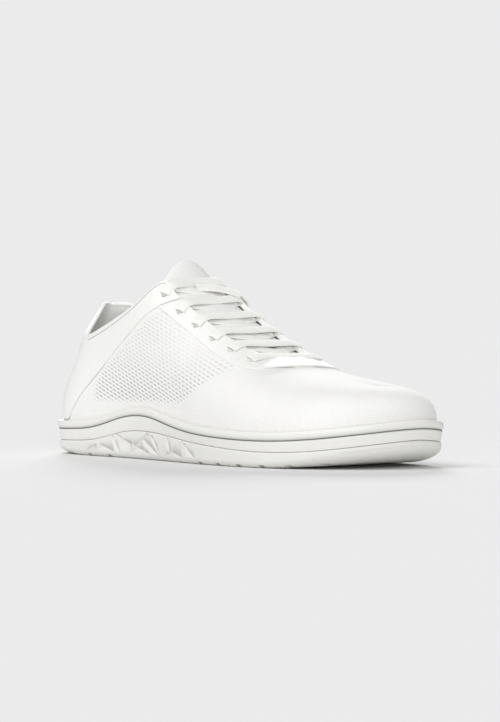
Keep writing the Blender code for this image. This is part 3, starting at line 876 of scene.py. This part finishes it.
def boxMesh(centre, size, turned):
    body = bmesh.new()
    bmesh.ops.create_cube(body, size=1.0)
    bmesh.ops.scale(body, vec=size, verts=body.verts)
    bmesh.ops.transform(body, matrix=Matrix.Translation(centre + shoeOrigin) @ turned, verts=body.verts)
    mesh = bpy.data.meshes.new("groove")
    body.to_mesh(mesh)
    body.free()
    return mesh


def makeTread(places):
    roll = lambda t: bandRecess * 0.75 + rollDepth(t)
    rings = [inTowards(roll, spring, s) for s in (1.0, 0.6, 0.25)]
    for angle in range(0, 91, 10):
        a = math.radians(angle)
        rings.append(
            soleRing(
                lambda t, a=a: bandRecess * 0.75 + rollDepth(t) * (1 - math.sin(a)),
                lambda t, p, a=a: spring(p.x) + rollHeight(t) * (1 - math.cos(a)),
            )
        )
    for share in (0.8, 0.93):
        rings.append(
            soleRing(
                lambda t: bandRecess * 0.7,
                lambda t, p, s=share: max(stepHeight(t) * s, spring(p.x) + rollHeight(t) + 1e-4),
            )
        )
    rings.append(soleRing(lambda t: bandRecess * 0.78, lambda t, p: stepHeight(t) - 0.0001))
    rings.append(soleRing(lambda t: bandRecess * 1.1, lambda t, p: stepHeight(t)))
    rings.append(soleRing(treadWall, lambda t, p: stepHeight(t)))
    rings.append(soleRing(treadWall, lambda t, p: treadThickness + spring(p.x)))
    rings += [inTowards(treadWall, lambda x: treadThickness + spring(x), s) for s in (0.5, 1.0)]
    return soleBody("treadSole", rings, places)


def grooveMeshes():
    found = []
    for share in (0.10, 0.17, 0.24, 0.58, 0.64, 0.70, 0.76, 0.82, 0.88):
        x = share * soleLength
        size = Vector((bottomGrooveWidth, ballWidth * 1.3, bottomGrooveDepth * 2))
        found.append(boxMesh(Vector((x, 0, spring(x))), size, Matrix.Rotation(math.radians(8), 4, "Z")))
    for start, startHeight, end, endHeight in sideLugs[1:]:
        for way in (-1, 1):
            a = turn(start) if way < 0 else 2 - turn(start)
            b = turn(end) if way < 0 else 2 - turn(end)
            first, last = sidePoint(a, startHeight), sidePoint(b, endHeight)
            line = last - first
            out = Vector((0, way, 0))
            turned = Matrix((line.normalized(), out, line.normalized().cross(out))).transposed()
            size = Vector((line.length, soleLooks["grooveDeep"] * 2, soleLooks["grooveSide"]))
            found.append(boxMesh((first + last) / 2, size, turned.to_4x4()))
    return found


def makeRim(places):
    base = treadThickness + gap
    inner = lambda t: treadWall(t) + gap
    level = lambda inset: lambda t: inset
    top = rimHeight
    low = lambda t: stepHeight(t) + gap
    groove = lambda t: top(t) - beadHeight - grooveWidth / 2
    rings = [inTowards(inner, lambda x: base + spring(x), s) for s in (1.0, 0.5)]
    rings += [soleRing(inner, lambda t, p: base + spring(p.x)), soleRing(inner, lambda t, p: low(t))]
    rings += [soleRing(level(bandRecess * 1.05), lambda t, p: low(t))]
    rings += [soleRing(level(bandRecess), lambda t, p: low(t) + 0.0002)]
    for share in (0.3, 0.6, 0.85):
        rings.append(
            soleRing(
                level(bandRecess * (1 - 0.5 * share)),
                lambda t, p, s=share: low(t) + (groove(t) - grooveWidth / 2 - low(t)) * s,
            )
        )
    rings.append(soleRing(level(bandRecess * 0.45), lambda t, p: groove(t) - grooveWidth * 0.5))
    rings.append(soleRing(level(bandRecess * 0.6), lambda t, p: groove(t) - grooveWidth * 0.36))
    rings.append(soleRing(level(grooveDepth), lambda t, p: groove(t) - grooveWidth * 0.12))
    rings.append(soleRing(level(grooveDepth), lambda t, p: groove(t) + grooveWidth * 0.12))
    for angle in range(-75, 91, 15):
        a = math.radians(angle)
        rings.append(
            soleRing(
                level(bandRecess * 0.55 * (1 - math.cos(a))),
                lambda t, p, a=a: top(t) - beadHeight * (0.46 - 0.46 * math.sin(a)) - 0.0002,
            )
        )
    rings.append(soleRing(level(rimWall * 0.75), lambda t, p: top(t)))
    rings.append(soleRing(level(rimWall), lambda t, p: top(t) - beadHeight * 0.15))
    rings.append(soleRing(level(rimWall), lambda t, p: floorHeight(p.x)))
    rings += [inTowards(lambda t: rimWall, floorHeight, s) for s in (0.5, 1.0)]
    return soleBody("rimSole", rings, places)


halfPlaces = finer([i / 44 for i in range(45)], soleLooks["columnParts"])
ringPlaces = halfPlaces + [2 - t for t in halfPlaces[-2::-1]]
rimPiece = makeRim(ringPlaces)
dress(rimPiece, [rimRubber], ["midsole"])
treadPiece = makeTread(ringPlaces)
cutWith(treadPiece, grooveMeshes())
dress(treadPiece, [treadRubber], ["outsole"])
print("sole made")


# Upper

upperLooks = {"columnParts": 3, "rows": 44, "wall": 0.0018, "bindingRadius": 0.0013}


def creases(x, y, z):
    # Soft folds across the toe's bend, and slight waves in the side.
    fold = 0.0
    for place, lean, deep in ((0.205, 0.25, 0.0005), (0.214, 0.32, 0.0006), (0.223, 0.22, 0.0004)):
        off = (x - place - lean * (abs(y) - 0.02)) / 0.0036
        fold -= deep * math.exp(-off * off) * eased((z - 0.026) / 0.02)
    wave = math.sin(x * 95 + z * 60) * math.sin(z * 140 - x * 40)
    return fold + 0.00022 * wave * eased((z - 0.024) / 0.01)


def slitShare(x, y, z):
    # Where the knit is open: between the heel panel, the eyestay and a line to the sole.
    if y > 0:
        y = -y
    height = seamHeight(turn(min(max(x / soleLength, 0.0), 1.0)))
    below = eased((height - 0.003 - z) / 0.003)
    above = eased((z - 0.031) / 0.004)
    front = 0.150 + (z - 0.032) * 1.75
    behind = eased((front - x) / 0.006)
    # Strength of the painted slit shade: strongest low down, weaker higher up and further forward.
    fade = 0.75 - 0.48 * eased((z - 0.038) / 0.026) - 0.20 * eased((x - 0.10) / 0.05)
    return below * above * behind * fade * eased((x - 0.052) / 0.010)


sidePlaces = finer(throatPlaces(), upperLooks["columnParts"])
upperPlaces = sidePlaces + [2 - t for t in sidePlaces[-2::-1]]
upperTops = [topW(t) for t in upperPlaces]


def upperRow(share):
    found = []
    for t, top in zip(upperPlaces, upperTops):
        flat = skin(t, top * share)
        lift = creases(flat.x, flat.y, flat.z) if 0.02 < share < 0.97 else 0.0
        found.append(skin(t, top * share, lift) if lift else flat)
    return found


def makeUpper():
    rows = [[skin(t, w) for t in upperPlaces] for w in (-1.0, -0.5)]
    count = upperLooks["rows"]
    rows += [upperRow(i / count) for i in range(count + 1)]
    piece = gridPiece("knitUpper", rows, runs=runsOf(upperPlaces, rows))
    slits = piece.data.attributes.new("slits", "FLOAT", "POINT")
    for point, value in zip(piece.data.vertices, slits.data):
        here = point.co - shoeOrigin
        value.value = slitShare(here.x, here.y, here.z)
    addWall(piece, upperLooks["wall"], -1.0, rimSlot=1, innerSlot=1)
    return piece


def eyeletMesh(i, way):
    at = over(*eyeletPlace(i, way), 0.0)
    normal = over(*eyeletPlace(i, way), 0.01) - at
    body = bmesh.new()
    ends = {"radius1": eyeletRadius, "radius2": eyeletRadius}
    bmesh.ops.create_cone(body, cap_ends=True, segments=20, depth=0.012, **ends)
    turned = normal.to_track_quat("Z", "X").to_matrix().to_4x4()
    bmesh.ops.transform(body, matrix=Matrix.Translation(at + shoeOrigin) @ turned, verts=body.verts)
    mesh = bpy.data.meshes.new("eyelet")
    body.to_mesh(mesh)
    body.free()
    return mesh


eyelets = [eyeletMesh(i, way) for i in range(eyeletCount) for way in (-1, 1)]
upperPiece = makeUpper()
dress(upperPiece, [upperKnit, liningCloth], ["upper"])
cutWith(upperPiece, eyelets)
print("upper made")


# Films on the upper


def roundedEdges(piece, width):
    bevel = piece.modifiers.new("soften", "BEVEL")
    bevel.width = width
    bevel.segments = 2
    bevel.limit_method = "ANGLE"
    bevel.angle_limit = math.radians(50)


def makeCounter():
    end = turn(counterEnd / soleLength)
    halves = [t for t in sidePlaces if t < end - 0.002] + [end]
    places = [-t for t in halves[:0:-1]] + halves
    low = [wAtHeight(t, max(rimHeight(t) + 2 * gap, seamHeight(t))) for t in places]
    high = [topW(t) - 0.004 for t in places]
    rows = []
    for i in range(19):
        share = i / 18
        rows.append([skin(t, a + (b - a) * share, 0.00005) for t, a, b in zip(places, low, high)])
    piece = gridPiece("heelPanel", rows, runs=runsOf(places, rows))
    addWall(piece, counterThickness, 1.0)
    return piece


def makeStay():
    lines = [horseshoe(1 - i / 12) for i in range(13)]
    rows = [[over(x, y, 0.00005) for x, y in line] for line in lines]
    piece = gridPiece("eyeletStay", rows)
    addWall(piece, stayThickness, 1.0)
    return piece


counterPiece = makeCounter()
cutWith(counterPiece, [eyeletMesh(i, way) for i in (4, 5) for way in (-1, 1)])
roundedEdges(counterPiece, 0.0003)
dress(counterPiece, [panelFilm], ["heel_counter"])
stayPiece = makeStay()
cutWith(stayPiece, eyelets)
roundedEdges(stayPiece, 0.00025)
dress(stayPiece, [panelFilm], ["eyestay"])
print("films made")


# Collar, tongue, trims and thin dark tubes of painted shade


def tubePiece(name, points, radius):
    # A round tube through the points, made from a curve.
    curve = bpy.data.curves.new(name, "CURVE")
    curve.dimensions = "3D"
    curve.bevel_depth = radius
    curve.bevel_resolution = 3
    curve.use_fill_caps = True
    line = curve.splines.new("POLY")
    line.points.add(len(points) - 1)
    for point, place in zip(line.points, points):
        point.co = (*(place + shoeOrigin), 1.0)
    source = bpy.data.objects.new(name, curve)
    bpy.context.scene.collection.objects.link(source)
    graph = bpy.context.evaluated_depsgraph_get()
    mesh = bpy.data.meshes.new_from_object(source.evaluated_get(graph))
    bpy.data.objects.remove(source, do_unlink=True)
    body = bmesh.new()
    body.from_mesh(mesh)
    bmesh.ops.remove_doubles(body, verts=body.verts, dist=1e-6)
    for face in body.faces:
        face.smooth = True
    return finishPiece(name, body)


def collarLine(drop, lift):
    end = turn(0.41)
    halves = [t for t in sidePlaces if t < end]
    places = [-t for t in halves[:0:-1]] + halves
    return [skin(t, topW(t) - drop, lift) for t in places]


collarPiece = tubePiece("collarBinding", collarLine(0.0, -0.0008), upperLooks["bindingRadius"])
dress(collarPiece, [panelFilm])
# Thin dark tubes just below the collar's edge, on both sides clear of the heel: painted shadow under the
# collar binding.
for side, way in (("Outer", 1), ("Inner", -1)):
    line = collarLine(0.018, counterThickness - 0.0001)
    middlePoint = len(line) // 2
    line = line[middlePoint + 24 :] if way > 0 else line[: middlePoint - 24]
    collarShadeLine = tubePiece("collarShadeLine" + side, line, 0.00024)
    dress(collarShadeLine, [shadowThread])
# A thin dark tube along the floor of the rim's groove: painted shade, so the groove reads as a dark line.
grooveHeights = [rimHeight(t) - beadHeight - grooveWidth * 0.5 for t in ringPlaces]
grooveShadePath = [Vector((*edge(t, 0.0011), height)) for t, height in zip(ringPlaces, grooveHeights)]
rimGrooveShade = tubePiece("rimGrooveShade", grooveShadePath, soleLooks["grooveShadeRadius"])
dress(rimGrooveShade, [shadowThread])

tongueLooks = {"columns": 40, "rows": 34, "rounding": 0.0012}


def makeTongue():
    rows = []
    starts = turn(tongueTop / soleLength), turn(tongueEnd / soleLength)
    for j in range(tongueLooks["rows"] + 1):
        t = starts[0] + (starts[1] - starts[0]) * j / tongueLooks["rows"]
        x = soleLength * alongOf(t)
        corner = min(max((x - tongueTop) / tongueCorner, 0.0), 1.0)
        half = tongueHalf * (0.90 + 0.10 * math.sqrt(1 - (1 - corner) ** 2))
        line = []
        for i in range(tongueLooks["columns"] + 1):
            y = half * (2 * i / tongueLooks["columns"] - 1)
            line.append(span(x, y, -upperWall - 3 * gap, tongueArch))
        rows.append(line)
    rows = rows[::-1]
    runs = [[(p.y, p.x) for p in row] for row in rows]
    piece = gridPiece("tonguePad", rows, runs=runs)
    addWall(piece, tongueThickness, -1.0)
    roundedEdges(piece, tongueLooks["rounding"])
    return piece


tonguePiece = makeTongue()
dress(tonguePiece, [tongueKnit], ["tongue"])
print("collar and tongue made")


# Lace

laceLooks = {
    "width": 0.0074,
    "thickness": 0.0013,
    "steps": 26,
    "sink": 0.0035,
    "eased": 4,
    "sag": 0.0012,
    "topSag": 0.0023,
}


def flatBand(name, centres, normals):
    # A flat band with rounded sides along the points.
    half, up = laceLooks["width"] / 2, laceLooks["thickness"] / 2
    rows = [[] for _ in range(13)]
    far = 0.0
    runs = [[] for _ in range(13)]
    for i, (centre, normal) in enumerate(zip(centres, normals)):
        before = centres[max(i - 1, 0)]
        after = centres[min(i + 1, len(centres) - 1)]
        far += (centre - before).length
        way = (after - before).normalized()
        side = way.cross(normal).normalized()
        top = side.cross(way).normalized()
        for k in range(13):
            a = math.radians(30 * k)
            across = math.copysign(abs(math.cos(a)) ** 0.7, math.cos(a))
            high = math.copysign(abs(math.sin(a)) ** 0.8, math.sin(a))
            rows[k].append(centre + side * half * across + top * up * high)
            runs[k].append((far, half * across))
    print(name, "is", round(far * 1000, 1), "mm long")
    return gridPiece(name, rows[::-1], runs=runs[::-1])


def laceAt(x, y, lift):
    # The band's centre and the way it faces, over this place in plan.
    step = 1e-3
    centre = span(x, y, lift, laceArch)
    ahead = span(x + step, y, lift, laceArch) - centre
    across = span(x, y + step, lift, laceArch) - centre
    return centre, ahead.cross(across).normalized()


def laceBar(i):
    # Straight across from one eyelet to its partner, and down through both.
    start, end = eyeletPlace(i, -1), eyeletPlace(i, 1)
    rest = gap + stayThickness + 0.0004
    centres, normals = [], []
    for k in range(laceLooks["steps"] + 1):
        share = k / laceLooks["steps"]
        x = start[0] + (end[0] - start[0]) * share
        y = start[1] + (end[1] - start[1]) * share
        across = math.sin(math.pi * share)
        sag = laceLooks["topSag"] if i == 5 else laceLooks["sag"]
        lift = rest + 0.0002 * min(1.0, 4 * across) ** 2 - sag * across**2
        centre, normal = laceAt(x, y, lift)
        centres.append(centre)
        normals.append(normal)
    for _ in range(laceLooks["eased"]):
        eachSide = zip(centres, centres[1:], centres[2:])
        centres = centres[:1] + [(a + b * 2 + c) / 4 for a, b, c in eachSide] + centres[-1:]
    for end, index in ((0, 0), (1, -1)):
        normal = normals[index]
        down = []
        inwards = (centres[index] - centres[1 if end == 0 else -2]).normalized()
        for depth in (0.25, 0.6, 1.0):
            down.append(centres[index] + inwards * 0.0008 * depth - normal * laceLooks["sink"] * depth)
        if end == 0:
            centres = down[::-1] + centres
            normals = [normal - inwards * 2.0] * 3 + normals
        else:
            centres = centres + down
            normals = normals + [normal - inwards * 2.0] * 3
    return flatBand("laceBar%d" % (i + 1), centres, normals)


def laceDiagonal(i, way):
    # The hidden run from one eyelet to the next one up, under the bars.
    startX, endX = eyeletX(i), eyeletX(i + 1)
    centres, normals = [], []
    for k in range(17):
        share = k / 16
        x = startX + (endX - startX) * share
        y = way * throatHalf * 0.97 * (1 - 2 * share)
        lift = -0.0017 + 0.0004 * math.sin(math.pi * share) + (0.0005 if way > 0 else 0.0)
        centre, normal = laceAt(x, y, lift)
        centres.append(centre)
        normals.append(normal)
    return flatBand("laceUnder%d%s" % (i + 1, "a" if way < 0 else "b"), centres, normals)


def laceCross():
    # The run that leaves under the top bar and crosses the fifth one to its far eyelet.
    startX = eyeletX(5) + 0.0035
    endX, endY = eyeletPlace(4, 1)
    centres, normals = [], []
    for k in range(19):
        share = k / 18
        x = startX + (endX - startX) * share**1.4
        y = -0.0035 + (endY + 0.0035) * share
        lift = 0.0002 + 0.0030 * eased(share / 0.55)
        centre, normal = laceAt(x, y, lift)
        centres.append(centre)
        normals.append(normal)
    for depth in (0.0012, 0.0026, 0.0042):
        centres.append(centres[18] - normals[18] * depth + Vector((0.0, 0.0006, 0.0)))
        normals.append(normals[18] + Vector((0.0, 1.6, 0.0)))
    return flatBand("laceCross", centres, normals)


dress(laceCross(), [laceWeave])
dress(laceBar(0), [laceWeave], ["lace"])
for i in range(1, eyeletCount):
    dress(laceBar(i), [laceWeave])
for i in range(eyeletCount - 1):
    for way in (-1, 1):
        dress(laceDiagonal(i, way), [laceWeave])
print("lace made")


# Footbed and heel tape, softened from the solids

softLooks = {"footbedRound": 0.0007, "footbedSink": 0.0006, "tapeRound": 0.0003, "tapeSink": 0.00015}


def softCopy(name, node, rounding, sink):
    body = bmesh.new()
    body.from_mesh(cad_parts[node].data)
    bmesh.ops.remove_doubles(body, verts=body.verts, dist=1e-5)
    bmesh.ops.subdivide_edges(body, edges=body.edges, cuts=1, use_grid_fill=True)
    runMap = body.loops.layers.uv.new("run")
    for face in body.faces:
        face.smooth = True
        for corner in face.loops:
            corner[runMap].uv = (corner.vert.co.z, corner.vert.co.y)
    for point in body.verts:
        if point.normal.z > 0.5:
            point.co.z -= sink * (0.5 + 0.5 * math.sin(point.co.x * 60) * math.cos(point.co.y * 70))
    piece = finishPiece(name, body)
    roundedEdges(piece, rounding)
    return piece


footbed = softCopy("clothFootbed", "insole", softLooks["footbedRound"], softLooks["footbedSink"])
dress(footbed, [footCloth], ["insole"])
heelTape = softCopy("wovenTape", "heel_tape", softLooks["tapeRound"], softLooks["tapeSink"])
dress(heelTape, [webbing], ["heel_tape"])
print("footbed and tape made")


# Stage, light and camera

stageLooks = {
    "floorTone": 0.79,
    "backTone": 0.83,
    "skyTone": 0.42,
    "lights": (
        ("softKey", 1.15, 40.0, (0.10, 0.57, -0.80)),
        ("backLight", 1.9, 20.0, (0.766, -0.643, -0.46)),
        ("frontFill", 1.35, 30.0, (-0.766, 0.643, -0.20)),
    ),
}
body = bmesh.new()
bmesh.ops.create_circle(body, cap_ends=True, segments=96, radius=30.0)
floor = finishPiece("floor", body)
floorPaint = bpy.data.materials.new("floorPaint")
floorPaint.use_nodes = True
floorSurface = floorPaint.node_tree.nodes["Principled BSDF"]
floorSurface.inputs["Base Color"].default_value = (stageLooks["floorTone"],) * 3 + (1.0,)
floorSurface.inputs["Roughness"].default_value = 1.0
floorSurface.inputs["Specular IOR Level"].default_value = 0.0
floor.data.materials.append(floorPaint)

world = bpy.data.worlds.new("studio")
bpy.context.scene.world = world
world.use_nodes = True
seen = add(world.node_tree, "ShaderNodeLightPath").outputs["Is Camera Ray"]
sky = (stageLooks["skyTone"],) * 3 + (1.0,)
back = (stageLooks["backTone"],) * 3 + (1.0,)
shown = mixColours(world.node_tree, seen, sky, back)
world.node_tree.links.new(shown, world.node_tree.nodes["Background"].inputs["Color"])
for name, strength, spread, direction in stageLooks["lights"]:
    sun = bpy.data.lights.new(name, "SUN")
    sun.energy = strength
    sun.angle = math.radians(spread)
    sunObject = bpy.data.objects.new(name, sun)
    sunObject.rotation_euler = Vector(direction).to_track_quat("-Z", "Y").to_euler()
    bpy.context.scene.collection.objects.link(sunObject)
bpy.context.scene.view_settings.view_transform = "Standard"

cameraLooks = {
    "azimuth": 50.0,
    "elevation": 1.32,
    "distance": 1.5,
    "pixelsPerMetre": 1769.0,
    "aim": (soleLength / 2, 0.0, 0.040),
    "aimPixel": (231.1, 389.0),
}
a = math.radians(cameraLooks["azimuth"])
e = math.radians(cameraLooks["elevation"])
forward = Vector((-math.sin(a) * math.cos(e), math.cos(a) * math.cos(e), -math.sin(e)))
lens = bpy.data.cameras.new("photoCamera")
lens.sensor_fit = "AUTO"
lens.sensor_width = 36.0
lens.lens = cameraLooks["pixelsPerMetre"] * cameraLooks["distance"] / 722 * 36
lens.shift_x = (250 - cameraLooks["aimPixel"][0]) / 722
lens.shift_y = (cameraLooks["aimPixel"][1] - 361) / 722
lens.clip_start, lens.clip_end = 0.05, 100
camera = bpy.data.objects.new("photoCamera", lens)
camera.location = Vector(cameraLooks["aim"]) + shoeOrigin - forward * cameraLooks["distance"]
camera.rotation_mode = "QUATERNION"
camera.rotation_quaternion = forward.to_track_quat("-Z", "Y")
bpy.context.scene.collection.objects.link(camera)
bpy.context.scene.camera = camera

print("scene ready")
